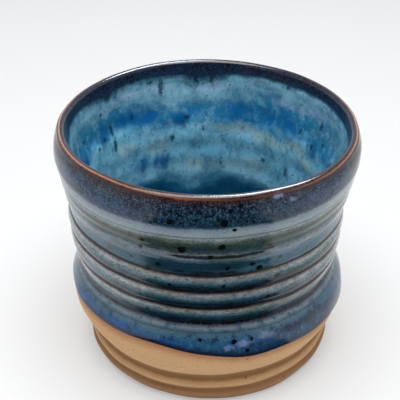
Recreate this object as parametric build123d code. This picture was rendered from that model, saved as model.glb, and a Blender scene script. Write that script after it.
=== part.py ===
from build123d import *
import os
from math import atan2, degrees, radians, sin

# Wheel-thrown stoneware shaving mug, without a handle. Millimetres, +Z up, origin on the table
# under the middle of the foot. Every outline is (distance from the axis, height above the table)
# and is turned once around the axis. Three coats of fired glaze lie on the clay, face to face.

# Overall size
HEIGHT = 85.2
FOOT_RADIUS = 42.0

# Coats of glaze
BASE_COAT = 0.5              # first coat, on the outside wall and on the inside
RIM_COAT = 0.35              # second dip, over the first coat at the lip
RIM_COAT_OUTER_EDGE = 75.8   # height at which the second dip ends on the outside
RIM_COAT_INNER_EDGE = 79.6   # and on the inside
GLAZE_LINE = 25.0            # mean height of the lower edge of the outside coat
GLAZE_LINE_RISE = 3.3        # the edge is this much higher on its high side, and lower opposite
GLAZE_LINE_HIGH_SIDE = 167.0 # degrees around +Z from +X

# Lip, a half round over the top of the wall
LIP_HALF_THICKNESS = 1.5
LIP_RADIUS = 48.5
LIP_HEIGHT = HEIGHT - LIP_HALF_THICKNESS

# Outside of the first coat, from the belly up to the lip
BELLY = [(48.0, 20.0), (48.35, 25.5), (47.55, 29.5), (46.3, 32.3)]
BELLY_TOP = (44.9, 35.2)
RIB_GROOVES = [BELLY_TOP, (46.1, 42.2), (46.9, 49.6), (47.1, 56.3)]
RIB_HEIGHT = 0.7             # how far a throwing rib stands out between its grooves
NECK = (47.7, 61.5)
COLLAR = [(48.7, 66.0), (49.75, 68.6), (50.1, 70.6), (50.7, 73.8), (50.9, 77.5), (50.5, 81.2)]

# Bare clay below the glaze, from the foot up to the belly
FOOT_CHAMFER = 0.8
FOOT_GROOVES = [(FOOT_RADIUS, FOOT_CHAMFER), (42.7, 5.4), (42.6, 10.5)]
FOOT_RIB_HEIGHT = 0.9
CLAY_WALL = (45.3, 15.4)
CLAY_BELLY = [(47.1, 20.0), (47.45, 25.5), (46.8, 29.5), (45.75, 32.3)]
BELLY_SLOPE = (0.2, 1.0)     # direction of the clay at the lower end of the glazed belly

# Trimmed ring under the foot
RING_WIDTH = 5.5
RING_DEPTH = 3.0
RING_FILLET = 2.0

# Inside of the liner glaze
FLOOR_HEIGHT = 9.0
FLOOR_CORNER = 14.0          # radius where the floor turns up into the wall
INNER_WALL_FOOT = (41.3, FLOOR_HEIGHT + FLOOR_CORNER)
INNER_WALL = [(41.9, 38.0), (42.5, 50.0), (43.4, 62.0), (45.6, 71.0), (46.4, 78.0)]


def shifted(points, distance):
    """The same points, moved away from the axis."""
    return [(radius + distance, height) for radius, height in points]


def rib_arcs(grooves, rib_height):
    """One arc from each groove to the next, standing out in the middle by rib_height."""
    arcs = []
    for low, high in zip(grooves, grooves[1:]):
        crest = ((low[0] + high[0]) / 2 + rib_height, (low[1] + high[1]) / 2)
        arcs.append(ThreePointArc(low, crest, high))
    return arcs


def collar(distance):
    """The outside from the neck up to the lip, moved out by distance."""
    neck = shifted([NECK], distance)[0]
    lip_point = (LIP_RADIUS + lip_radius(-distance), LIP_HEIGHT)
    return [Spline(neck, *shifted(COLLAR, distance), lip_point, tangents=[(0.15, 1), (-0.3, 1)])]


def ribbed_wall(distance):
    """The outside from the belly's top up to the lip, moved out by distance."""
    neck = shifted(RIB_GROOVES[-1:] + [NECK], distance)
    ribs = rib_arcs(shifted(RIB_GROOVES, distance), RIB_HEIGHT)
    return ribs + rib_arcs(neck, RIB_HEIGHT / 2) + collar(distance)


def clay_belly():
    """The clay under the glaze, from below the glaze line to the lowest throwing groove."""
    top = shifted([BELLY_TOP], -BASE_COAT)[0]
    return Spline(*CLAY_BELLY, top, tangents=[BELLY_SLOPE, (-0.5, 1)])


def inner_wall(distance):
    """The inside from the middle of the floor up to the lip, moved into the wall by distance."""
    floor = FLOOR_HEIGHT - distance
    foot_radius, foot_height = INNER_WALL_FOOT
    wall_foot = (foot_radius + distance, foot_height)
    corner_start = (foot_radius - FLOOR_CORNER, floor)
    lip_point = (LIP_RADIUS - lip_radius(distance), LIP_HEIGHT)
    return [
        Line((0, floor), corner_start),
        TangentArc(corner_start, wall_foot, tangent=(1, 0)),
        Spline(wall_foot, *shifted(INNER_WALL, distance), lip_point, tangents=[(0, 1), (0.15, 1)]),
    ]


def lip_radius(depth):
    """Radius of the lip's half round, this deep below the surface of the first coat."""
    return LIP_HALF_THICKNESS - RIM_COAT - depth


def lip_side(radius, side):
    """A quarter round of the lip: side 1 is from the outside to the crest, side -1 the inside."""
    diagonal = radius * sin(radians(45))
    edge = (LIP_RADIUS + side * radius, LIP_HEIGHT)
    middle = (LIP_RADIUS + side * diagonal, LIP_HEIGHT + diagonal)
    crest = (LIP_RADIUS, LIP_HEIGHT + radius)
    return ThreePointArc(edge, middle, crest)


def crest_line(low_radius, high_radius):
    """The joint between two coats at the top of the lip."""
    return Line((LIP_RADIUS, LIP_HEIGHT + low_radius), (LIP_RADIUS, LIP_HEIGHT + high_radius))


def turned(outline):
    """The solid made by turning a closed outline around the axis."""
    return revolve(Plane.XZ * make_face(outline), Axis.Z)


def stoneware_body():
    """Clay: foot ring, floor, belly, ribbed wall, collar and lip, thrown from one lump."""
    radius = lip_radius(BASE_COAT)
    ring_outer = FOOT_RADIUS - FOOT_CHAMFER
    ring_inner = ring_outer - RING_WIDTH
    recess_edge = (ring_inner - RING_FILLET, RING_DEPTH)
    recess_wall = (ring_inner, RING_DEPTH - RING_FILLET)
    foot_top = FOOT_GROOVES[-1]
    return turned(
        [
            Line((0, RING_DEPTH), recess_edge),
            TangentArc(recess_edge, recess_wall, tangent=(1, 0)),
            Line(recess_wall, (ring_inner, 0)),
            Line((ring_inner, 0), (ring_outer, 0)),
            Line((ring_outer, 0), FOOT_GROOVES[0]),
            *rib_arcs(FOOT_GROOVES, FOOT_RIB_HEIGHT),
            Spline(foot_top, CLAY_WALL, CLAY_BELLY[0], tangents=[(0.6, 1), BELLY_SLOPE]),
            clay_belly(),
            *ribbed_wall(-BASE_COAT),
            lip_side(radius, 1),
            lip_side(radius, -1),
            *inner_wall(BASE_COAT),
            Line((0, RING_DEPTH), (0, FLOOR_HEIGHT - BASE_COAT)),
        ]
    )


def below_glaze_line():
    """Everything under the tilted plane in which the outside coat ends."""
    reach = 4 * LIP_RADIUS
    tilt = degrees(atan2(GLAZE_LINE_RISE, FOOT_RADIUS))
    plane = Pos(0, 0, GLAZE_LINE) * Rot(0, 0, GLAZE_LINE_HIGH_SIDE) * Rot(0, -tilt, 0)
    return plane * Pos(0, 0, -reach / 2) * Box(reach, reach, reach)


def outer_glaze():
    """Outside coat, from the middle of the lip down to the glaze line, thicker on the belly."""
    coat, clay = lip_radius(0), lip_radius(BASE_COAT)
    whole = turned(
        [
            Line(CLAY_BELLY[0], BELLY[0]),
            Spline(*BELLY, BELLY_TOP),
            *ribbed_wall(0),
            lip_side(coat, 1),
            crest_line(clay, coat),
            lip_side(clay, 1),
            *ribbed_wall(-BASE_COAT),
            clay_belly(),
        ]
    )
    return whole - below_glaze_line()


def liner_glaze():
    """Inside coat, from the middle of the lip down the wall and over the floor."""
    coat, clay = lip_radius(0), lip_radius(BASE_COAT)
    return turned(
        [
            lip_side(coat, -1),
            *inner_wall(0),
            Line((0, FLOOR_HEIGHT), (0, FLOOR_HEIGHT - BASE_COAT)),
            *inner_wall(BASE_COAT),
            lip_side(clay, -1),
            crest_line(clay, coat),
        ]
    )


def rim_glaze():
    """Second dip: a band over the lip, on top of both first coats."""
    coat, rim = lip_radius(0), lip_radius(-RIM_COAT)
    neck_step = Line(NECK, shifted([NECK], RIM_COAT)[0])
    floor_step = Line((0, FLOOR_HEIGHT), (0, FLOOR_HEIGHT + RIM_COAT))
    whole = make_face(
        [
            *collar(0),
            *collar(RIM_COAT),
            neck_step,
            lip_side(coat, 1),
            lip_side(coat, -1),
            lip_side(rim, 1),
            lip_side(rim, -1),
            *inner_wall(0),
            *inner_wall(-RIM_COAT),
            floor_step,
        ]
    )
    outside = Pos(LIP_RADIUS, RIM_COAT_OUTER_EDGE) * Rectangle(HEIGHT, HEIGHT, align=Align.MIN)
    inside = Pos(0, RIM_COAT_INNER_EDGE) * Rectangle(LIP_RADIUS, HEIGHT, align=Align.MIN)
    return revolve(Plane.XZ * (whole & (outside + inside)), Axis.Z)


PARTS = {
    "stoneware_body": stoneware_body,
    "liner_glaze": liner_glaze,
    "outer_glaze": outer_glaze,
    "rim_glaze": rim_glaze,
}

os.makedirs("parts", exist_ok=True)
for node, make in PARTS.items():
    export_step(make(), f"parts/{node}.step")
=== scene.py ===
from math import cos, pi, radians, sin

import bpy
import numpy as np
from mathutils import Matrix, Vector


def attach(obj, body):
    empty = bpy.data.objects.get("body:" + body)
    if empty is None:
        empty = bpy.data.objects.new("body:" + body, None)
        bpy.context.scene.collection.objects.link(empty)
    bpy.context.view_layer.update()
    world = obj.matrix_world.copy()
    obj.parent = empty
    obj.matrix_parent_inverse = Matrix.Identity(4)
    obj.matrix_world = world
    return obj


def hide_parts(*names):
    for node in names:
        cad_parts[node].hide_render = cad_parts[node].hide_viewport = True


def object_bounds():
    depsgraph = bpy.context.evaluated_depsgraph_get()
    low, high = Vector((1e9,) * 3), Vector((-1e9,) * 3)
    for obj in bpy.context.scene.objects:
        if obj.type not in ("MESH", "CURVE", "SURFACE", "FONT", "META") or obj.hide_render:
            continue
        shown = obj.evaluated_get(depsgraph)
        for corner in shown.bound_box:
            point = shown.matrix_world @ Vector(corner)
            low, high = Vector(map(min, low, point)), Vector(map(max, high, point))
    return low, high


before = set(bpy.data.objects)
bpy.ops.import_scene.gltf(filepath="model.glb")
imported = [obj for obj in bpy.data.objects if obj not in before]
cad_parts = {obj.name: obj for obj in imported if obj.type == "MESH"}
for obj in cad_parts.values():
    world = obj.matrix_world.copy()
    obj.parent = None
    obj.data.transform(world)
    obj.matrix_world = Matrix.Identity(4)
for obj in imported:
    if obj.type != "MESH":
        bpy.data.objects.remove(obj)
cad_low, cad_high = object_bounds()

# Heights and radii are in millimetres, as in the CAD model, and meshes are made in metres.
MM = 0.001
HEIGHT = (cad_high.z - cad_low.z) / MM

# ---------------------------------------------------------------------------------------------
# Shape of the mug: a thrown pot is an outline turned around the axis, and then not quite round
# ---------------------------------------------------------------------------------------------

WALL_RADIUS = 46.0
SEGMENTS = 400
AROUND = np.linspace(-pi, pi, SEGMENTS, endpoint=False)

LIP_ROUND = 1.5
LIP_RADIUS = 48.5
LIP_HEIGHT = HEIGHT - LIP_ROUND
COAT = 0.5
RIM_COAT = 0.35
ROLL_COAT = 0.9              # thickness of the outside coat where it has run and gathered
ROLL_TOP = 34.0
ROLL_RISE = 6.0              # height over which the coat gets as thick as that
BEAD = 1.3                   # height of the rounded edge in which the outside coat ends
COAT_TOP = 77.6              # the outside coat and the liner end under the second dip
LINER_TOP = 80.0
DIP_LOW = 74.2               # lower edge of the second dip, on the outside and in the cup
DIP_LOW_INSIDE = 77.0
FEATHER = 2.5                # height over which the second dip thins out to nothing

# (height, radius) of the clay, without its throwing ribs
CLAY_OUTSIDE = [
    (0.8, 42.0), (5.4, 42.7), (10.5, 42.6), (15.4, 45.3), (20.0, 47.1), (25.5, 47.45),
    (29.5, 46.8), (32.3, 45.75), (35.2, 44.4), (42.2, 45.6), (49.6, 46.4), (56.3, 46.6),
    (61.5, 47.2), (66.0, 48.2), (68.6, 49.25), (70.6, 49.6), (73.8, 50.2), (77.5, 50.4),
    (81.2, 50.0), (LIP_HEIGHT, 49.15),
]
RECESS = 3.0                 # depth of the recess under the foot
RECESS_EDGE = 35.7
RECESS_ROUND = 2.0
FLOOR = 8.5
FLOOR_CORNER = 14.5
CORNER_TOP = 23.0
CLAY_INSIDE = [
    (CORNER_TOP, 41.8), (38.0, 42.4), (50.0, 43.0), (62.0, 43.9), (71.0, 46.1), (78.0, 46.9),
    (LIP_HEIGHT, 47.85),
]
FLOOR_EDGE = CLAY_INSIDE[0][1] - FLOOR_CORNER

# (height, depth, width) of the cuts in the grooves between the ribs, and of the line under the collar
NOTCHES = [(35.2, 0.22, 0.45), (42.2, 0.22, 0.45), (49.6, 0.25, 0.45), (56.3, 0.3, 0.5)]
COLLAR_LINE = (71.9, 0.14, 0.25)
GROOVES = [height for height, depth, width in NOTCHES]

# (lower edge, upper edge, how far it stands out, power of its sine profile): the two steps of the foot,
# the ribs between the grooves, and a low ridge above them
RIBS = [
    (0.8, 5.4, 1.0, 1.5), (5.4, 10.5, 1.2, 1.5),
    *((low, high, 0.7, 0.9) for low, high in zip(GROOVES, GROOVES[1:])),
    (60.4, 67.0, 0.6, 1.5),
]

# Places where the glaze differs, and places of painted shade and painted reflection, each (degrees around,
# height, half width, half height). The front is at -90 degrees, the right side at 0 and the back wall, seen
# inside the cup, at 90.
COBALT_INSIDE = [
    (74, 67, 9, 4.5), (60, 66, 9, 4.5), (46, 65.5, 9, 4), (131, 67, 9, 4), (147, 66, 7, 5),
    (124, 48, 9, 4.5), (115, 47.5, 10, 4.5), (102, 64, 9, 4), (118, 66, 7, 4), (30, 61, 6, 5),
    (168, 62, 7, 6),
]
# Cream patches in the glaze; those high on the wall, in lavender-white, are painted reflection
CREAM_AND_SHEEN_INSIDE = [
    (80, 60, 8, 2.6), (71, 60.3, 7, 3), (62, 58.7, 8, 3.4), (53, 57.4, 9, 3.6), (42, 59, 9, 3.2),
    (32, 55, 8, 3), (88, 44.5, 17, 3.8), (66, 46.5, 11, 4), (95, 45, 12, 3.4), (116, 54, 9, 4),
    (132, 56, 8, 4.5), (112, 76, 9, 2.4), (47, 74, 13, 3), (130, 76, 8, 2.6), (90, 75, 9, 2.5),
    (30, 75.5, 11, 3.2),
]
STREAKS_INSIDE = [
    (112, 76.4, 1.2, 5.2), (141, 66, 1.0, 4.0), (140, 59.5, 1.1, 4.5), (107.6, 56.4, 1.2, 1.8),
    (152, 62, 1.0, 1.1), (26.6, 72, 1.1, 1.9), (45.7, 47.7, 1.1, 2.4), (59.5, 49.3, 1.5, 1.3),
    (91.6, 59.5, 0.8, 1.4), (117, 79, 1.2, 0.9), (29.5, 63, 1.1, 1.6), (22, 66.4, 1.0, 1.4),
    (39, 66, 1.3, 1.6), (100, 64, 1.6, 1.1), (147, 64, 1.1, 1.3), (128, 67.5, 0.9, 1.1),
    (82.4, 45, 0.8, 1.2), (146, 73.3, 0.8, 1.3), (163, 69, 0.8, 1.0), (50.5, 80, 1.0, 1.0),
    (-100, 60, 1.2, 4), (-60, 52, 1.2, 2), (-20, 66, 1.2, 3), (-140, 50, 1.4, 2), (200, 70, 1.1, 3),
]
# Where the ribs get painted shade at the front; away from it they get painted milky reflection instead
SHADED_FRONT = [(-92, 62, 22, 9), (-86, 52, 32, 6), (-84, 45, 36, 6), (-78, 38, 42, 5), (-92, 68, 14, 4)]
COBALT_ROLL = [
    (-128, 28.6, 16, 2.6), (-150, 29.5, 14, 2.6), (-108, 28, 12, 2.2), (40, 28, 20, 3),
    (120, 28, 16, 3),
]
VIOLET_ROLL = [
    (-66, 30, 3.5, 1.8), (-75, 28.5, 4, 2), (-81, 27.5, 3, 1.5), (80, 28, 6, 2), (150, 29, 7, 2),
]
DUSK_ROLL = [
    (-57, 29, 8, 2.2), (-44, 29.5, 9, 2.4), (-30, 28, 10, 2), (70, 30, 14, 2), (170, 30, 14, 2),
]
# Painted shade: a dark line just above the crest of the low ridge at the front
RIDGE_SHADE = [
    (-97, 64.2, 6, 0.7), (-89, 64.1, 6, 0.85), (-81, 64.2, 6, 0.8), (-73, 64.6, 5, 0.65),
    (-67, 65.4, 3, 0.5),
]
RUST = [(-100, 84.2, 1.6, 0.5), (-97, 84.0, 1.2, 0.4)]
FROST = [(-65, 83.6, 2.2, 1.3), (-60, 81.5, 1.4, 1.0)]
# Painted reflection: a grey-blue sheen on the sides of the collar
COLLAR_SHEEN = [(-132, 78.5, 16, 3.4), (-44, 79.5, 16, 3.4), (-150, 80, 14, 3), (40, 79, 20, 3), (140, 79, 20, 3)]
# (degrees around, height, radius)
IRON_SPOTS = [
    (-62, 52.2, 1.0), (-98.4, 66.9, 1.05), (-65.5, 44.7, 0.85), (-113.3, 68.2, 0.85), (-69.6, 57.4, 0.9),
    (-84.4, 68.2, 0.95), (-84.2, 77.5, 1.05), (-47, 67.8, 0.7), (-72.4, 59.6, 0.7), (-149, 49.7, 0.7),
    (-114, 65.2, 0.6), (-129.6, 67.9, 0.6), (-79, 29.5, 0.7), (-112.6, 56.3, 0.75), (-102, 77.7, 0.85),
    (-72, 29.7, 0.6), (-108, 58.9, 0.6), (-110, 77.9, 0.65), (-78.6, 82.2, 0.6), (-66.6, 66.6, 0.6),
    (-74, 25.8, 0.6), (-88.4, 64.3, 0.7), (-49.6, 77, 0.5), (-36, 43.6, 0.6), (-82, 81, 0.6),
    (-61, 59.7, 0.5), (-80.5, 74.7, 0.5), (-82, 59.2, 0.6), (-103.5, 52, 0.5), (-83.4, 52.5, 0.55),
    (-55, 78.4, 0.5), (-116, 80.6, 0.5), (-55, 56.2, 0.4), (-92, 30.4, 0.5), (-119.4, 59, 0.45),
    (-107.5, 42.4, 0.5), (-114, 38.7, 0.5), (-124, 68.8, 0.4), (-118, 68.3, 0.45), (-80, 44.2, 0.45),
    (20, 68, 0.9), (60, 60, 0.7), (110, 70, 0.9), (160, 50, 0.8), (-10, 50, 0.8), (35, 45, 0.6),
    (85, 78, 0.9), (140, 62, 0.6),
]

# (height, how far the pot's axis stands to the right at that height)
WANDER = [(0.0, 0.7), (12.0, 0.4), (25.0, -0.2), (50.0, -0.45), (70.0, -0.4), (HEIGHT, 0.0)]
OVAL = 0.004                 # how much longer than round the pot is along this direction
OVAL_DEGREES = -60
PRESSED = 0.9                # how far the front of the lip is pressed in, starting from this height
PRESSED_DEGREES = -98
PRESSED_WIDTH = 0.7
PRESSED_FROM = 77.0
WANDERING = 50.0             # the grooves wander up and down within this far of this height
WANDERING_REACH = 22.0
EDGE_HEIGHT = 24.4           # mean height of the outside coat's lower edge, and how far it is tilted
EDGE_TILT = 2.4


def curve(knots, height):
    """A smooth curve through (height, value) knots, as a cubic with averaged slopes."""
    x, y = np.array(knots, float).T
    slope = np.gradient(y, x)
    i = np.clip(np.searchsorted(x, height) - 1, 0, len(x) - 2)
    step = x[i + 1] - x[i]
    t = np.clip((height - x[i]) / step, 0, 1)
    start = (1 + 2 * t) * (1 - t) ** 2 * y[i] + t * (1 - t) ** 2 * step * slope[i]
    end = t * t * (3 - 2 * t) * y[i + 1] - t * t * (1 - t) * step * slope[i + 1]
    return start + end


def turned(angle, degrees):
    """How far round an angle is from this direction, from -pi to pi."""
    return (angle - radians(degrees) + pi) % (2 * pi) - pi


def swell(angle, height):
    """Unevenness left by the thrower's hands, in millimetres, with the front of the lip pressed in."""
    slow = 0.16 * np.sin(3 * angle + 0.11 * height) + 0.1 * np.sin(5 * angle - 0.19 * height + 1.3)
    fine = 0.05 * np.sin(11 * angle + 0.43 * height) + 0.04 * np.sin(17 * angle - 0.31 * height)
    front = np.exp(-((turned(angle, PRESSED_DEGREES) / PRESSED_WIDTH) ** 4))
    up = np.clip((height - PRESSED_FROM) / (LIP_HEIGHT - PRESSED_FROM), 0, 1)
    return slow + fine - PRESSED * front * up ** 2


def rise(angle, height):
    """How far a throwing groove wanders up or down, in millimetres."""
    return 0.28 * np.sin(angle + 0.09 * height) + 0.12 * np.sin(2 * angle - 0.2 * height + 0.7)


def ribs(angle, height):
    """How far the throwing ribs stand out, less the grooves and lines cut between them."""
    out = np.zeros(np.broadcast(angle, height).shape)
    for low, high, size, power in RIBS:
        t = np.clip((height - low) / (high - low), 0, 1)
        strength = 1 + 0.15 * np.sin(2 * angle + low)
        out = out + size * strength * np.sin(pi * t) ** power
    for middle, depth, width in NOTCHES:
        strength = 0.75 + 0.35 * np.sin(angle * 2 + middle)
        out = out - depth * strength * np.exp(-(((height - middle) / width) ** 2))
    middle, depth, width = COLLAR_LINE
    return out - depth * np.exp(-(((height - middle) / width) ** 2))


def glaze_line(angle):
    """Height of the lower edge of the outside coat: high on the left and low on the right."""
    tilt = -EDGE_TILT * np.tanh(2.8 * np.sin(angle + radians(88)))
    waver = 0.25 * np.sin(6 * angle + 0.4) + 0.15 * np.sin(13 * angle + 2.0)
    return EDGE_HEIGHT + tilt + waver


def coat_thickness(height):
    """Thickness of the outside coat."""
    t = np.clip((ROLL_TOP - height) / ROLL_RISE, 0, 1)
    return COAT + (ROLL_COAT - COAT) * t * t * (3 - 2 * t)


def placed(angle, radius, height, nominal):
    """Points in metres, of shape (..., 3), with the unevenness that the pot has at a nominal height."""
    oval = 1 + OVAL * np.cos(2 * (angle - radians(OVAL_DEGREES)))
    r = (radius + swell(angle, nominal)) * oval
    lean = curve(WANDER, nominal)
    by_grooves = np.exp(-(((nominal - WANDERING) / WANDERING_REACH) ** 4))
    z = height + rise(angle, nominal) * by_grooves
    x, y, z = np.broadcast_arrays(r * np.cos(angle) + lean, r * np.sin(angle), z)
    return np.stack([x, y, z], -1) * MM


def clay_outside(angle, height):
    """The clay under the outside coat, and bare below it."""
    return placed(angle, curve(CLAY_OUTSIDE, height) + ribs(angle, height), height, height)


def outside(angle, height, depth=0.0):
    """The outside of the coat, at this depth below its surface."""
    radius = curve(CLAY_OUTSIDE, height) + ribs(angle, height) + coat_thickness(height)
    return placed(angle, radius - depth, height, height)


def inside(angle, height, distance):
    """The inside of the wall, this far off the clay."""
    return placed(angle, curve(CLAY_INSIDE, height) - distance, height, height)


def lip(angle, turn, radius):
    """The round of the lip, from 0 at the outside over the top to pi at the inside."""
    return placed(angle, LIP_RADIUS + radius * np.cos(turn), LIP_HEIGHT + radius * np.sin(turn), LIP_HEIGHT)


def corner(angle, turn, distance):
    """The floor's rounded corner, from 0 at the wall to pi / 2 at the floor."""
    radius = FLOOR_CORNER - distance
    height = CORNER_TOP - radius * np.sin(turn)
    return placed(angle, FLOOR_EDGE + radius * np.cos(turn), height, CORNER_TOP)


def disc(angle, share, edge, height, nominal):
    """A level disc; share runs from 1 at its edge down to near 0 at the middle."""
    return placed(angle, edge * share, height, nominal)


def brushed(patches, angle, height):
    """How strongly a place is covered by soft patches, each (degrees, height, half width, half height)."""
    cover = np.zeros(np.broadcast(angle, height).shape)
    for degrees, middle, across, up in patches:
        away = (turned(angle, degrees) * WALL_RADIUS / across) ** 2 + ((height - middle) / up) ** 2
        cover = np.maximum(cover, np.exp(-away))
    return cover


def lathe(name, rows, levels, marks, closed=False):
    """A mesh from rows of points, one row per ring, with the attributes that the glaze reads.

    The rows run once around the piece's own section, and closed joins the last of them to the first.
    Otherwise the section starts and ends beside the axis, and a fan closes the mesh at each end."""
    points = np.concatenate(rows)
    level = np.concatenate([np.broadcast_to(value, row.shape[:2]) for value, row in zip(levels, rows)])
    count = len(points)
    vertices = points.reshape(-1, 3)
    layers = {"level": level, **{key: cover(AROUND, level) for key, cover in marks.items()}}
    ring = np.arange(SEGMENTS)
    after = (ring + 1) % SEGMENTS
    faces = []
    for row in range(count if closed else count - 1):
        a, b = row * SEGMENTS, (row + 1) % count * SEGMENTS
        faces.append(np.stack([a + ring, b + ring, b + after, a + after], -1))
    polygons = np.concatenate(faces).tolist()
    if not closed:
        for row in (0, count - 1):
            first = row * SEGMENTS
            vertices = np.vstack([vertices, vertices[first:first + SEGMENTS].mean(0)])
            layers = {key: np.append(values, values.reshape(-1)[first]) for key, values in layers.items()}
            hub = len(vertices) - 1
            fan = (first + np.stack([ring, after], -1)).tolist()
            polygons += [[hub, a, b] if row == 0 else [hub, b, a] for a, b in fan]
    mesh = bpy.data.meshes.new(name)
    mesh.from_pydata(vertices.tolist(), [], polygons)
    for key, values in layers.items():
        layer = mesh.attributes.new(key, "FLOAT", "POINT")
        layer.data.foreach_set("value", values.reshape(-1).astype(np.float32))
    mesh.shade_smooth()
    mesh.validate()
    piece = bpy.data.objects.new(name, mesh)
    bpy.context.scene.collection.objects.link(piece)
    return piece


def turns(start, end, count):
    """This many evenly spaced values as a column, one for each ring."""
    return np.linspace(start, end, count)[:, None]


def heights(low, high, step):
    """Heights from low to high as a column, about this step apart."""
    return turns(low, high, max(2, int(round(abs(high - low) / step)) + 1))


def mark(patches):
    """The function that a mesh uses to mark these patches on its rings."""
    return lambda angle, level: brushed(patches, angle, level)


OUTSIDE_MARKS = {
    "dark": mark(SHADED_FRONT),
    "cobalt": mark(COBALT_ROLL),
    "violet": mark(VIOLET_ROLL),
    "dusk": mark(DUSK_ROLL),
    "ridge_shade": mark(RIDGE_SHADE),
    "rust": mark(RUST),
    "frost": mark(FROST),
    "collar_sheen": mark(COLLAR_SHEEN),
    "edge": lambda angle, level: level - glaze_line(angle),
}
INSIDE_MARKS = {"deep": mark(COBALT_INSIDE), "cream_and_sheen": mark(CREAM_AND_SHEEN_INSIDE), "streak": mark(STREAKS_INSIDE)}


def make_body():
    """The clay: foot, belly and wall, with the recess under the foot."""
    under = turns(0.06, 1, 14)
    fillet = turns(pi / 2, 0, 6)
    flat = RECESS_EDGE - RECESS_ROUND
    rounded = RECESS - RECESS_ROUND + RECESS_ROUND * np.sin(fillet)
    foot_ring = RECESS_EDGE + turns(0.3, 5.2, 6)
    wall_low = heights(CLAY_OUTSIDE[0][0], 31.0, 0.4)
    wall_high = heights(32.0, LIP_HEIGHT, 1.1)
    over = turns(0, pi, 9)[1:-1]
    inner = heights(LIP_HEIGHT, CORNER_TOP, 2.0)
    bend = turns(0, pi / 2, 8)[1:]
    share = turns(1, 0.06, 10)
    rows = [
        disc(AROUND, under, flat, RECESS, 0.0),
        placed(AROUND, flat + RECESS_ROUND * np.cos(fillet), rounded, 0.0),
        placed(AROUND, foot_ring, 0.0, 0.0),
        clay_outside(AROUND, wall_low),
        clay_outside(AROUND, wall_high),
        lip(AROUND, over, LIP_ROUND - RIM_COAT - COAT),
        inside(AROUND, inner, 0.0),
        corner(AROUND, bend, 0.0),
        disc(AROUND, share, FLOOR_EDGE, FLOOR, CORNER_TOP),
    ]
    levels = [0, 0, 0, wall_low, wall_high, LIP_HEIGHT, inner, CORNER_TOP, FLOOR]
    return lathe("clay_body", rows, levels, {"edge": OUTSIDE_MARKS["edge"]})


def make_outer_glaze():
    """The outside coat: its outer face down to the bead, then the hidden face against the clay."""
    edge = glaze_line(AROUND)[None, :]
    parting = 33.0           # below this height the rings follow the wavy edge
    upper = heights(COAT_TOP, parting, 0.3)
    lower = edge + (parting - edge) * turns(1, 0, 34)[1:] ** 1.3
    bead = np.clip((lower - edge) / BEAD, 0, 1)
    sunk = coat_thickness(lower) * (1 - np.sqrt(1 - (1 - bead) ** 2))
    behind = edge + (parting - edge) * turns(0.04, 0.96, 8)
    hidden = heights(parting, COAT_TOP, 0.9)
    rows = [
        outside(AROUND, upper),
        outside(AROUND, lower, sunk),
        clay_outside(AROUND, behind),
        clay_outside(AROUND, hidden),
    ]
    return lathe("outer_glaze_coat", rows, [upper, lower, behind, hidden], OUTSIDE_MARKS, closed=True)


def make_rim_glaze():
    """The second dip over the lip, feathered out to nothing at both of its edges."""
    outer = heights(DIP_LOW, LIP_HEIGHT, 0.3)
    proud = RIM_COAT * np.clip((outer - DIP_LOW) / FEATHER, -0.1, 1)
    over = turns(0, pi, 15)[1:-1]
    inner = heights(LIP_HEIGHT, DIP_LOW_INSIDE, 0.35)
    proud_inside = RIM_COAT * np.clip((inner - DIP_LOW_INSIDE - 0.3) / FEATHER, -0.1, 1)
    back_inner = heights(DIP_LOW_INSIDE, LIP_HEIGHT, 1.0)
    back_over = turns(pi, 0, 9)[1:-1]
    back_outer = heights(LIP_HEIGHT, DIP_LOW, 1.0)
    rows = [
        outside(AROUND, outer, -proud),
        lip(AROUND, over, LIP_ROUND),
        inside(AROUND, inner, COAT + proud_inside),
        inside(AROUND, back_inner, COAT),
        lip(AROUND, back_over, LIP_ROUND - RIM_COAT),
        outside(AROUND, back_outer),
    ]
    crest = LIP_HEIGHT + LIP_ROUND * np.sin(over)
    levels = [outer, crest, inner, back_inner, LIP_HEIGHT, back_outer]
    # How far over the lip a ring lies, from 0 on the outside to 1 in the cup
    within = np.repeat([0, 0, 1, 1, 0, 0], [len(row) for row in rows])[:, None].astype(float)
    within[len(outer):len(outer) + len(over)] = over / pi
    marks = {**OUTSIDE_MARKS, **INSIDE_MARKS, "front": mark([(-72, LIP_HEIGHT, 34, 30)])}
    marks["within"] = lambda angle, level: np.broadcast_to(within, level.shape)
    return lathe("rim_glaze_band", rows, levels, marks, closed=True)


def make_liner_glaze():
    """The inside coat: the hidden face against the clay, then its face in the cup."""
    back_share, share = turns(0.02, 1, 6)[:-1], turns(1, 0.02, 40)[1:]
    back_bend, bend = turns(pi / 2, 0, 8)[:-1], turns(0, pi / 2, 36)[1:]
    back = heights(CORNER_TOP, LINER_TOP, 2.5)
    wall = heights(LINER_TOP, CORNER_TOP, 0.45)
    waves = np.sin(wall * 0.8 + 1.6 * np.sin(AROUND) + np.sin(3 * AROUND))
    rings = 0.1 * waves * np.clip((76 - wall) / 6, 0, 1)
    spiral = 0.25 * np.sin(share * 22 + AROUND) * np.clip(share * 2, 0, 1) * (1 - share)
    floor = FLOOR + COAT
    rows = [
        disc(AROUND, back_share, FLOOR_EDGE, FLOOR, CORNER_TOP),
        corner(AROUND, back_bend, 0.0),
        inside(AROUND, back, 0.0),
        inside(AROUND, wall, COAT + rings),
        corner(AROUND, bend, COAT),
        disc(AROUND, share, FLOOR_EDGE, floor + spiral, CORNER_TOP),
    ]
    levels = [FLOOR, CORNER_TOP, back, wall, CORNER_TOP - (CORNER_TOP - floor) * bend * 2 / pi, floor]
    return lathe("liner_glaze_coat", rows, levels, INSIDE_MARKS)


# ---------------------------------------------------------------------------------------------
# Materials
# ---------------------------------------------------------------------------------------------


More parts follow.
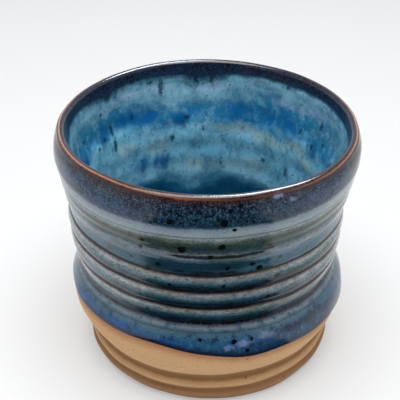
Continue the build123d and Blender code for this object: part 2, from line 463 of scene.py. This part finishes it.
class Shader:
    """A material's node tree, with a short call for each kind of node that is used here."""

    def __init__(self, name):
        self.material = bpy.data.materials.new(name)
        self.material.use_nodes = True
        self.tree = self.material.node_tree
        self.surface = self.tree.nodes["Principled BSDF"]
        self.place = self.node("ShaderNodeTexCoord").outputs["Object"]

    def node(self, kind, inputs=(), **settings):
        """A new node with these settings, and with its inputs plugged."""
        made = self.tree.nodes.new(kind)
        for key, value in settings.items():
            setattr(made, key, value)
        for key, value in dict(inputs).items():
            self.plug(made.inputs[key], value)
        return made

    def plug(self, socket, value):
        """Links another node's output to a socket, or sets the socket to a constant."""
        if isinstance(value, bpy.types.NodeSocket):
            self.tree.links.new(value, socket)
        elif isinstance(value, tuple) and len(value) == 3 and socket.type == "RGBA":
            socket.default_value = (*value, 1.0)
        else:
            socket.default_value = value

    def set(self, **values):
        """Sets inputs of the surface, with spaces in their names written as _."""
        for key, value in values.items():
            self.plug(self.surface.inputs[key.replace("_", " ")], value)

    def math(self, operation, a, b=0.0):
        """The result of one operation on two sockets or numbers."""
        return self.node("ShaderNodeMath", {0: a, 1: b}, operation=operation).outputs[0]

    def sum(self, a, b):
        return self.math("ADD", a, b)

    def product(self, first, *others):
        for other in others:
            first = self.math("MULTIPLY", first, other)
        return first

    def rest(self, cover):
        """What a cover from 0 to 1 leaves free."""
        return self.math("SUBTRACT", 1.0, cover)

    def step(self, value, low, high):
        """A smooth step from 0 at low to 1 at high, or the other way when high is below low."""
        start, end, a, b = (low, high, 0.0, 1.0) if low < high else (high, low, 1.0, 0.0)
        inputs = {"Value": value, "From Min": start, "From Max": end, "To Min": a, "To Max": b}
        return self.node("ShaderNodeMapRange", inputs, interpolation_type="SMOOTHSTEP").outputs[0]

    def attribute(self, name):
        return self.node("ShaderNodeAttribute", attribute_name=name).outputs["Fac"]

    def stretched(self, z):
        """The object's coordinates scaled in height: a texture is drawn out around the pot above 1, and
        down its wall below 1."""
        inputs = {0: self.place, 1: (1.0, 1.0, z)}
        return self.node("ShaderNodeVectorMath", inputs, operation="MULTIPLY").outputs[0]

    def noise(self, size, detail=3.0, rough=0.55, warp=0.0, place=None):
        """Smooth noise from 0 to 1 with features of this size in millimetres."""
        inputs = {"Vector": place or self.place, "Scale": 1 / (size * MM), "Detail": detail,
                  "Roughness": rough, "Distortion": warp}
        return self.node("ShaderNodeTexNoise", inputs).outputs[0]

    def waver(self, span, size, detail=3.0, rough=0.55, warp=0.0, place=None):
        """Noise around zero that spans this much, with features of this size in millimetres."""
        return self.product(self.sum(self.noise(size, detail, rough, warp, place), -0.5), span)

    def cells(self, size):
        """Distance from the nearest of scattered points, in units of the cell size, and a random colour."""
        inputs = {"Vector": self.place, "Scale": 1 / (size * MM)}
        made = self.node("ShaderNodeTexVoronoi", inputs)
        return made.outputs["Distance"], made.outputs["Color"]

    def blend(self, factor, a, b, kind="MIX"):
        """Colour a where the factor is 0 and colour b where it is 1."""
        made = self.node("ShaderNodeMix", {0: factor}, data_type="RGBA", blend_type=kind)
        self.plug(made.inputs[6], a)
        self.plug(made.inputs[7], b)
        return made.outputs[2]

    def ramp(self, value, low, high, stops):
        """Colours at given values between low and high. stops is a list of (value, colour)."""
        made = self.node("ShaderNodeValToRGB")
        self.plug(made.inputs[0], self.math("DIVIDE", self.sum(value, -low), high - low))
        line = made.color_ramp
        line.interpolation = "EASE"
        while len(line.elements) < len(stops):
            line.elements.new(0.5)
        for element, (at, colour) in zip(line.elements, sorted(stops)):
            element.position = (at - low) / (high - low)
            element.color = (*paint(*colour), 1.0)
        return made.outputs[0]

    def bump(self, *layers):
        """Bump from (height, size in millimetres) layers, one on top of the other."""
        normal = None
        for height, size in layers:
            made = self.node("ShaderNodeBump", {"Strength": 1.0, "Distance": size * MM, "Height": height})
            if normal:
                self.plug(made.inputs["Normal"], normal)
            normal = made.outputs[0]
        self.plug(self.surface.inputs["Normal"], normal)


def paint(red, green, blue):
    """A colour from its 0 to 255 values on a screen."""
    shades = [shade / 255 for shade in (red, green, blue)]
    return tuple(s / 12.92 if s < 0.0404 else ((s + 0.055) / 1.055) ** 2.4 for s in shades)


# Colours of the glaze by nominal height: above the top groove on the outside, on the roll, and in the cup
COLOUR_TOP = 85.3            # a little above the lip
ROLL_HIGH = 35.3
ROLL_LOW = 22.0
# The pale bands under the collar and along the low ridge are painted reflection, and the black just above
# the top groove painted shade
LIP_STOPS = [
    (85.2, (60, 42, 40)), (84.5, (56, 28, 22)), (83.9, (46, 20, 18)), (82.8, (30, 14, 20)),
    (81.4, (20, 20, 36)), (79.0, (8, 32, 52)), (76.4, (8, 38, 56)), (75.7, (58, 80, 94)),
    (75.0, (118, 134, 146)), (73.2, (138, 154, 164)), (72.2, (150, 162, 170)), (71.2, (146, 158, 166)),
    (70.2, (102, 116, 112)), (69.2, (62, 76, 64)), (67.4, (32, 48, 42)), (66.0, (52, 66, 64)),
    (64.9, (116, 122, 130)), (63.6, (124, 130, 140)), (62.2, (70, 94, 106)), (61.2, (8, 48, 68)),
    (58.6, (2, 38, 60)), (57.6, (0, 8, 18)), (56.9, (0, 0, 2)), (56.3, (0, 0, 1)),
]
# The pale band just under the roll's top groove is a painted highlight
ROLL_STOPS = [
    (35.2, (0, 0, 2)), (34.8, (30, 16, 12)), (34.3, (86, 82, 86)), (33.6, (108, 122, 130)),
    (32.9, (70, 88, 94)), (32.5, (26, 46, 52)), (32.0, (58, 88, 102)), (31.2, (56, 92, 114)),
    (29.0, (32, 80, 114)), (26.0, (18, 58, 92)), (23.0, (14, 36, 62)),
]
# The deep teal low on the wall is partly painted shade
WALL_STOPS = [
    (85.2, (40, 34, 40)), (84.2, (10, 8, 16)), (82.6, (12, 16, 32)), (80.8, (10, 30, 50)),
    (79.8, (60, 112, 132)), (78.6, (122, 174, 196)), (76.5, (132, 182, 204)), (73.6, (108, 160, 184)),
    (71.0, (52, 116, 150)), (67.5, (28, 106, 148)), (64.0, (24, 104, 150)), (61.0, (76, 150, 190)),
    (58.5, (122, 188, 216)), (54.0, (116, 182, 208)), (51.0, (108, 176, 202)), (47.0, (120, 186, 212)),
    (43.5, (126, 182, 204)), (41.0, (78, 136, 162)), (38.4, (22, 82, 112)), (36.0, (0, 58, 84)),
    (28.0, (2, 62, 88)), (18.0, (16, 84, 112)), (9.0, (36, 104, 130)),
]
# Colours of a rib from its upper groove (0) to its lower one (1): at the front, with a painted highlight on
# its back and painted shade in its lower half, and away from the front, paler with painted milky reflection
FRONT_SHADE_STOPS = [
    (0.0, (0, 0, 2)), (0.05, (26, 12, 8)), (0.1, (80, 62, 58)), (0.17, (132, 130, 132)),
    (0.28, (120, 132, 138)), (0.4, (90, 112, 120)), (0.51, (42, 76, 92)), (0.62, (10, 50, 74)),
    (0.73, (0, 24, 46)), (0.82, (0, 2, 6)), (1.0, (0, 0, 1)),
]
MILKY_SHEEN_STOPS = [
    (0.0, (8, 8, 10)), (0.06, (58, 42, 38)), (0.12, (146, 140, 142)), (0.23, (172, 180, 188)),
    (0.38, (124, 150, 158)), (0.54, (82, 112, 122)), (0.7, (46, 76, 92)), (0.85, (18, 40, 56)),
    (1.0, (0, 2, 4)),
]
# Colours of the bare clay by height, with painted shade in the grooves and at the bottom of the foot, and
# painted light on the ridges between
CLAY_TOP = 40.0
CLAY_AND_SHADE_STOPS = [
    (0.0, (122, 94, 66)), (1.5, (152, 116, 82)), (3.2, (158, 120, 86)), (4.6, (144, 104, 66)),
    (6.2, (148, 108, 68)), (7.6, (210, 168, 124)), (8.8, (200, 158, 114)), (10.0, (150, 108, 66)),
    (12.0, (152, 112, 72)), (13.4, (222, 180, 134)), (17.0, (218, 176, 130)), (40.0, (186, 144, 104)),
]


def broken(shader, value, low, high, size, strength, place=None):
    """0 to 1 as a value passes from low to high, broken up by noise of this size and strength."""
    noise = shader.waver(strength, size, detail=5.0, rough=0.65, warp=0.2, place=place)
    return shader.step(shader.sum(value, noise), low, high)


def marked(shader, colour, name, low, high, size, strength, amount, shade):
    """The colour with this amount of another shade on one of the mesh's marks, its edge broken up."""
    cover = broken(shader, shader.attribute(name), low, high, size, strength)
    return shader.blend(shader.product(cover, amount), colour, paint(*shade))


def mottled(shader, colour, shade, size, low, high, amount, mask=1.0, rough=0.7, place=None):
    """The colour with this amount of another shade where noise of this size passes from low to high."""
    cover = shader.step(shader.noise(size, detail=5.0, rough=rough, place=place), low, high)
    return shader.blend(shader.product(cover, amount, mask), colour, paint(*shade))


def rib_colour(shader, colour, height, fine, front_shade):
    """The colour with each rib's own bands laid over it: a painted highlight on its back, painted shade in
    its grooves at the front, and painted milky reflection away from the front.

    The bands keep to the groove above a rib, and drift up and down further below it."""
    for low, high in reversed(list(zip(GROOVES, GROOVES[1:]))):
        below = shader.math("DIVIDE", shader.math("SUBTRACT", high, fine), high - low)
        loose = shader.math("DIVIDE", shader.math("SUBTRACT", high, height), high - low)
        phase = shader.blend(shader.step(below, 0.1, 0.4), below, loose)
        # Painted milky reflection away from the front, painted shade and highlight at the front
        milky = shader.ramp(phase, 0.0, 1.0, MILKY_SHEEN_STOPS)
        band = shader.blend(front_shade, milky, shader.ramp(phase, 0.0, 1.0, FRONT_SHADE_STOPS))
        colour = shader.blend(shader.math("LESS_THAN", fine, high), colour, band)
    return colour


def roll_colour(shader, height, fine, grain, clear):
    """Colour of the thick roll of glaze above the bare clay."""
    level = shader.attribute("level")
    settled = shader.blend(shader.step(level, 32.2, 31.2), fine, height)
    roll = shader.ramp(settled, ROLL_LOW, ROLL_HIGH, ROLL_STOPS)
    roll = marked(shader, roll, "cobalt", 0.3, 1.0, 4.0, 2.0, 0.85, (8, 70, 134))
    roll = marked(shader, roll, "dusk", 0.3, 0.9, 3.0, 2.0, 0.85, (30, 30, 52))
    roll = marked(shader, roll, "violet", 0.4, 1.2, 1.2, 2.0, 0.6, (142, 152, 196))
    roll = mottled(shader, roll, (84, 122, 152), 1.2, 0.5, 0.64, 0.45)
    roll = mottled(shader, roll, (8, 30, 58), 2.4, 0.5, 0.62, 0.8)
    # Painted milky reflection on the top of the roll, away from the front
    pale = shader.product(clear, shader.step(level, 30.5, 33.5), shader.step(fine, 35.0, 34.4), 0.35)
    roll = shader.blend(pale, roll, paint(96, 126, 144))
    edge = shader.sum(shader.attribute("edge"), grain)
    roll = shader.blend(shader.step(edge, 3.2, 0.8), roll, paint(12, 22, 42))
    return shader.blend(shader.step(edge, 1.1, 0.3), roll, paint(46, 28, 22))


def outside_colour(shader):
    """Colour of the glaze on the outside: bands by height, with painted highlights, painted reflection and
    painted shade on the ribs and under the collar, and brown where thin.
    """
    level = shader.attribute("level")
    around = shader.stretched(2.6)
    strands = shader.stretched(4.5)
    blots = shader.stretched(1.7)
    grain = shader.waver(1.0, 1.0)
    drift = shader.sum(shader.waver(1.8, 9.0, detail=4.0, place=around), shader.product(grain, 1.5))
    height = shader.sum(level, drift)
    fine = shader.sum(level, shader.product(grain, 0.35))
    # Painted shade on the front of the ribs; what it leaves free gets painted milky reflection
    dark = broken(shader, shader.attribute("dark"), 0.15, 0.85, 7.0, 1.4, strands)
    front_shade = shader.product(dark, 0.95)
    clear = shader.rest(front_shade)

    # The bands above the ribs, with painted milky reflection below the collar and bluer in the hollow away
    # from the front, and then the ribs
    colour = shader.ramp(height, GROOVES[-1], COLOUR_TOP, LIP_STOPS)
    side_sheen = shader.product(clear, shader.step(level, 72.0, 64.0))
    colour = shader.blend(shader.product(side_sheen, 0.24), colour, paint(96, 142, 160))
    hollow = shader.product(side_sheen, shader.step(level, 63.0, 61.0), 0.4)
    colour = shader.blend(hollow, colour, paint(70, 128, 154))
    line = shader.math("ABSOLUTE", shader.sum(fine, -COLLAR_LINE[0]))
    line = shader.product(shader.step(line, 0.4, 0.1), 0.6)
    colour = shader.blend(line, colour, paint(72, 82, 92))
    colour = rib_colour(shader, colour, height, fine, front_shade)

    # Mottling, an olive tint in patches, and a line of painted shade above the top groove
    olive = shader.step(level, 74.0, 71.0)
    colour = mottled(shader, colour, (26, 52, 62), 3.0, 0.48, 0.66, 0.35, olive, place=strands)
    below_band = shader.step(level, 72.5, 70.0)
    colour = mottled(shader, colour, (14, 50, 72), 3.2, 0.48, 0.62, 0.38, below_band, 0.75, blots)
    colour = mottled(shader, colour, (10, 34, 48), 1.1, 0.53, 0.62, 0.55, below_band, 0.65, blots)
    tint = shader.step(shader.noise(16.0, rough=0.6, place=around), 0.4, 0.65)
    warm = shader.product(tint, shader.step(level, 74.0, 70.0), 0.6)
    colour = shader.blend(warm, colour, paint(196, 206, 176), "MULTIPLY")
    colour = marked(shader, colour, "ridge_shade", 0.25, 0.7, 2.5, 0.7, 0.9, (6, 12, 20))
    roll = roll_colour(shader, height, fine, grain, clear)
    return shader.blend(shader.math("LESS_THAN", fine, GROOVES[0]), colour, roll)


def flecks(shader, colour, low, high):
    """Flecks in the dark glaze of the collar, a painted sheen on its sides, and the iron spots that lie
    between two heights.
    """
    ragged = shader.sum(shader.attribute("level"), shader.product(shader.noise(1.2), 1.6))
    collar = shader.step(ragged, 76.2, 77.4)
    blue = shader.product(collar, shader.step(ragged, 85.4, 82.6))
    # Painted reflection on the sides of the collar
    colour = marked(shader, colour, "collar_sheen", 0.1, 1.2, 2.4, 1.4, 0.5, (62, 80, 122))
    colour = mottled(shader, colour, (52, 104, 132), 0.55, 0.5, 0.64, 0.7, blue)
    colour = mottled(shader, colour, (92, 124, 132), 0.8, 0.54, 0.66, 0.5, blue)
    colour = mottled(shader, colour, (2, 4, 10), 1.3, 0.52, 0.62, 0.9, collar, 0.6)
    colour = mottled(shader, colour, (10, 26, 34), 0.45, 0.54, 0.66, 0.55)
    colour = marked(shader, colour, "frost", 0.3, 1.2, 1.0, 2.2, 0.7, (118, 136, 176))
    colour = marked(shader, colour, "rust", 0.3, 0.8, 0.8, 0.8, 0.7, (126, 60, 30))
    rag = shader.waver(2.0 * MM, 0.9, detail=4.0, rough=0.7)
    for degrees, height, size in IRON_SPOTS:
        if low <= height <= high:
            inputs = {0: shader.place, 1: tuple(outside(radians(degrees), height))}
            away = shader.node("ShaderNodeVectorMath", inputs, operation="DISTANCE").outputs["Value"]
            spot = shader.step(shader.sum(away, rag), size * 1.5 * MM, size * MM)
            colour = shader.blend(spot, colour, paint(2, 8, 12))
    return colour


def inside_colour(shader):
    """Colour of the glaze in the cup: a dark dip at the lip, mottled turquoise with some painted reflection
    high up, and darker low on the wall, partly painted shade.
    """
    level = shader.attribute("level")
    drips = shader.stretched(0.5)
    loose = shader.sum(shader.step(level, 83.0, 76.0), 0.06)
    ripple = shader.waver(5.0, 2.6, detail=5.0, rough=0.65, place=drips)
    drift = shader.sum(shader.waver(26.0, 26.0, rough=0.5), ripple)
    height = shader.sum(level, shader.product(drift, loose))
    colour = shader.ramp(height, FLOOR + COAT, COLOUR_TOP, WALL_STOPS)
    below = shader.step(level, 80.0, 77.0)
    dip = shader.rest(below)
    deep = broken(shader, shader.attribute("deep"), 0.3, 1.1, 5.0, 2.0, drips)
    colour = shader.blend(shader.product(deep, 0.85), colour, paint(0, 80, 140))
    # Cream patches, and high on the wall lavender-white painted reflection
    cream_and_sheen = broken(shader, shader.attribute("cream_and_sheen"), 0.35, 1.1, 5.0, 2.0)
    pale = shader.blend(shader.step(level, 66.0, 72.0), paint(160, 188, 180), paint(150, 178, 208))
    colour = shader.blend(shader.product(cream_and_sheen, 0.68), colour, pale)
    colour = mottled(shader, colour, (20, 92, 128), 9.0, 0.48, 0.64, 0.5, below, 0.65)
    colour = mottled(shader, colour, (24, 86, 112), 2.6, 0.48, 0.68, 0.5, below, place=drips)
    light = shader.product(below, shader.step(height, 39.0, 46.0), shader.rest(deep))
    colour = mottled(shader, colour, (142, 186, 196), 3.0, 0.44, 0.74, 0.55, light)
    colour = mottled(shader, colour, (24, 76, 100), 0.8, 0.5, 0.7, 0.3, below)
    colour = mottled(shader, colour, (14, 40, 62), 4.0, 0.42, 0.62, 0.5, dip)
    colour = mottled(shader, colour, (62, 70, 100), 0.7, 0.48, 0.66, 0.5, dip)
    colour = mottled(shader, colour, (58, 34, 30), 1.1, 0.54, 0.68, 0.4, dip)
    colour = marked(shader, colour, "streak", 0.25, 0.9, 1.0, 1.5, 0.85, (12, 46, 60))
    return mottled(shader, colour, (8, 58, 84), 1.5, 0.58, 0.7, 0.6, below, 0.55)


def glassy(shader, colour, roughness, specular):
    """A fired glaze: a hard, clear, slightly rippled skin over its colour."""
    shader.set(Base_Color=colour, Roughness=roughness, IOR=1.5)
    shader.set(Specular_IOR_Level=specular)
    shader.bump((shader.noise(2.6), 0.06), (shader.noise(0.5, detail=2.0), 0.012))


def outside_glaze(name):
    """The glaze of the outside coat."""
    shader = Shader(name)
    colour = flecks(shader, outside_colour(shader), 0.0, COAT_TOP)
    glassy(shader, colour, roughness=0.14, specular=0.4)
    return shader.material


def inside_glaze(name):
    """The glaze in the cup, which is softer on the floor than on the wall."""
    shader = Shader(name)
    soft = shader.product(shader.step(shader.attribute("level"), 18.0, 10.0), 0.3)
    glassy(shader, inside_colour(shader), roughness=shader.sum(soft, 0.16), specular=0.25)
    return shader.material


def rim_glaze(name):
    """The second dip: the wall's colour outside, the cup's colour inside, and bare brown between."""
    shader = Shader(name)
    within = shader.attribute("within")
    front = shader.attribute("front")
    colour = flecks(shader, outside_colour(shader), DIP_LOW, HEIGHT)
    colour = shader.blend(shader.step(within, 0.42, 0.6), colour, inside_colour(shader))
    over = shader.sum(within, shader.product(front, 0.3))
    crest = shader.product(shader.step(over, 0.26, 0.36), shader.step(over, 0.5, 0.42))
    bare = shader.product(broken(shader, crest, 0.35, 1.0, 1.2, 1.2), shader.step(within, 0.01, 0.07), 0.9)
    copper = shader.blend(front, paint(150, 110, 90), paint(76, 44, 36))
    glassy(shader, shader.blend(bare, colour, copper), roughness=0.14, specular=0.45)
    return shader.material


def bare_clay(name):
    """Buff stoneware: painted shade in its grooves and at its foot, painted light on its ridges, toasted
    orange beside the glaze, with iron specks.
    """
    shader = Shader(name)
    grain = shader.noise(0.7, detail=4.0, rough=0.7)
    tone = shader.noise(9.0, detail=5.0, rough=0.6)
    height = shader.sum(shader.attribute("level"), shader.waver(0.8, 3.0))
    # Painted shade in the grooves and at the foot, painted light on the ridges
    colour = shader.ramp(height, 0.0, CLAY_TOP, CLAY_AND_SHADE_STOPS)
    edge = shader.sum(shader.attribute("edge"), shader.product(shader.noise(4.0), 1.6))
    toast = shader.product(shader.step(edge, -3.6, 0.8), 0.6)
    colour = shader.blend(toast, colour, paint(176, 108, 70))
    colour = shader.blend(shader.product(tone, 0.25), colour, paint(150, 112, 76))
    sand = shader.product(shader.step(grain, 0.45, 0.75), 0.3)
    colour = shader.blend(sand, colour, paint(130, 92, 56))
    distance, random = shader.cells(2.2)
    size = shader.node("ShaderNodeSeparateColor", {0: random}).outputs[0]
    reach = shader.product(shader.math("POWER", size, 4.0), 0.16)
    speck = shader.step(shader.math("SUBTRACT", distance, reach), 0.03, -0.02)
    colour = shader.blend(shader.product(speck, 0.75), colour, paint(70, 46, 30))
    shader.set(Base_Color=colour, Roughness=0.75, IOR=1.45)
    shader.set(Specular_IOR_Level=0.3)
    shader.bump((grain, 0.05), (tone, 0.1))
    return shader.material


# ---------------------------------------------------------------------------------------------
# Camera, light and floor
# ---------------------------------------------------------------------------------------------

FLOOR_GLOW = 0.37
BACKDROP = 0.94
ROOM_WALLS = 1.0             # brightness of the room at eye level, overhead, and in front
ROOM_ABOVE = 0.3
ROOM_FRONT = 0.45


def make_camera():
    """The photograph's view: from in front and above, aimed a little below the rim."""
    data = bpy.data.cameras.new("camera")
    data.lens, data.sensor_width = 89.9, 36.0
    data.clip_start, data.clip_end = 0.01, 20
    camera = bpy.data.objects.new("camera", data)
    bpy.context.scene.collection.objects.link(camera)
    bpy.context.scene.camera = camera
    distance, above, rim_plane = 0.3322, radians(27.52), 0.084
    down, aside = 31.93, 0.50
    camera.location = (0, -distance * cos(above), distance * sin(above) + rim_plane)
    camera.rotation_euler = (radians(90 - down), 0, radians(aside))


def make_sheet(name, corners, shader):
    """A flat sheet between four corners."""
    mesh = bpy.data.meshes.new(name)
    mesh.from_pydata(corners, [], [(0, 1, 2, 3)])
    mesh.materials.append(shader.material)
    sheet = bpy.data.objects.new(name, mesh)
    bpy.context.scene.collection.objects.link(sheet)
    return sheet


def make_floor():
    """A sheet of pale paper that glows a little by itself, as on a light table: painted light that lifts the
    shade around the foot.
    """
    shader = Shader("floor_paper")
    tone = shader.noise(300.0, detail=2.0)
    shader.set(Base_Color=shader.blend(tone, paint(169, 170, 171), paint(173, 174, 175)), Roughness=0.9)
    # Painted light: the floor glows by itself
    shader.set(Emission_Color=(1.0, 1.0, 1.0), Emission_Strength=FLOOR_GLOW)
    shader.set(Specular_IOR_Level=0.0)
    size = 1.5               # half the side of the sheet, in metres
    corners = [(-size, -size, 0), (size, -size, 0), (size, size, 0), (-size, size, 0)]
    floor = make_sheet("floor", corners, shader)


def make_flag(name, corners):
    """A black card that only reflections see, to keep the front of the glaze dark and deep."""
    shader = Shader(name)
    tone = shader.noise(200.0, detail=2.0)
    shader.set(Base_Color=shader.blend(tone, paint(10, 12, 16), paint(20, 22, 28)), Roughness=1.0)
    flag = make_sheet(name, corners, shader)
    flag.visible_camera = flag.visible_diffuse = flag.visible_shadow = False


def make_world():
    """A pale room: bright all round at eye level, dimmer overhead and towards the photographer."""
    world = bpy.data.worlds.new("studio")
    bpy.context.scene.world = world
    world.use_nodes = True
    tree = world.node_tree
    link = tree.links.new
    back = tree.nodes["Background"]
    place = tree.nodes.new("ShaderNodeTexCoord")
    parts = tree.nodes.new("ShaderNodeSeparateXYZ")
    link(place.outputs["Generated"], parts.inputs[0])

    def fade(axis, *values):
        """Brightness that passes smoothly from one level to another along an axis of the room."""
        made = tree.nodes.new("ShaderNodeMapRange")
        made.interpolation_type = "SMOOTHSTEP"
        link(parts.outputs[axis], made.inputs["Value"])
        for key, value in zip(("From Min", "From Max", "To Min", "To Max"), values):
            made.inputs[key].default_value = value
        return made.outputs[0]

    light = tree.nodes.new("ShaderNodeMath")
    light.operation = "MULTIPLY"
    link(fade("Z", 0.1, 0.85, ROOM_WALLS, ROOM_ABOVE), light.inputs[0])
    link(fade("Y", -0.95, -0.35, ROOM_FRONT, 1.0), light.inputs[1])
    seen = tree.nodes.new("ShaderNodeLightPath")
    pick = tree.nodes.new("ShaderNodeMix")
    link(seen.outputs["Is Camera Ray"], pick.inputs[0])
    link(light.outputs[0], pick.inputs[2])
    pick.inputs[3].default_value = BACKDROP
    link(pick.outputs[0], back.inputs[1])
    back.inputs[0].default_value = (0.97, 0.98, 1.0, 1.0)


def make_lamp(name, place, target, width, length, power, colour=(1.0, 1.0, 1.0)):
    """A soft, round or oval lamp that points at its target."""
    data = bpy.data.lights.new(name, "AREA")
    data.shape, data.size, data.size_y = "ELLIPSE", width, length
    data.energy, data.color = power, colour
    lamp = bpy.data.objects.new(name, data)
    bpy.context.scene.collection.objects.link(lamp)
    lamp.location = place
    lamp.rotation_euler = (Vector(target) - Vector(place)).to_track_quat("-Z", "Y").to_euler()
    return lamp


def add(piece, node, material):
    """Puts a finished piece in place of its CAD node."""
    piece.data.materials.append(material)
    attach(piece, "root")
    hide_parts(node)


make_camera()
add(make_body(), "stoneware_body", bare_clay("buff_stoneware"))
add(make_outer_glaze(), "outer_glaze", outside_glaze("floating_blue_glaze"))
add(make_liner_glaze(), "liner_glaze", inside_glaze("turquoise_liner_glaze"))
add(make_rim_glaze(), "rim_glaze", rim_glaze("dark_rim_glaze"))
make_floor()
make_world()
# One card lies in front of the foot and widens away from it, and the other stands where that one ends
lying = [(-0.05, -0.043, 0.001), (0.05, -0.043, 0.001), (0.5, -0.9, 0.001), (-0.5, -0.9, 0.001)]
standing = [(-0.6, -0.9, -0.2), (0.6, -0.9, -0.2), (0.6, -0.9, 1.3), (-0.6, -0.9, 1.3)]
make_flag("table_card", lying)
make_flag("drape", standing)
make_lamp("overhead", place=(0.0, -0.06, 0.62), target=(0, 0, 0.05), width=0.55, length=0.55, power=5.6)
# A cool lamp that only reflections show, for the white line on the lip
cool = (0.75, 0.88, 1.0)
sky = make_lamp("sky", (0.2, 0.3, 0.8), target=(0, 0, 0.08), width=0.5, length=0.35, power=14.0, colour=cool)
sky.visible_diffuse = False
bpy.context.scene.view_settings.view_transform = "Standard"
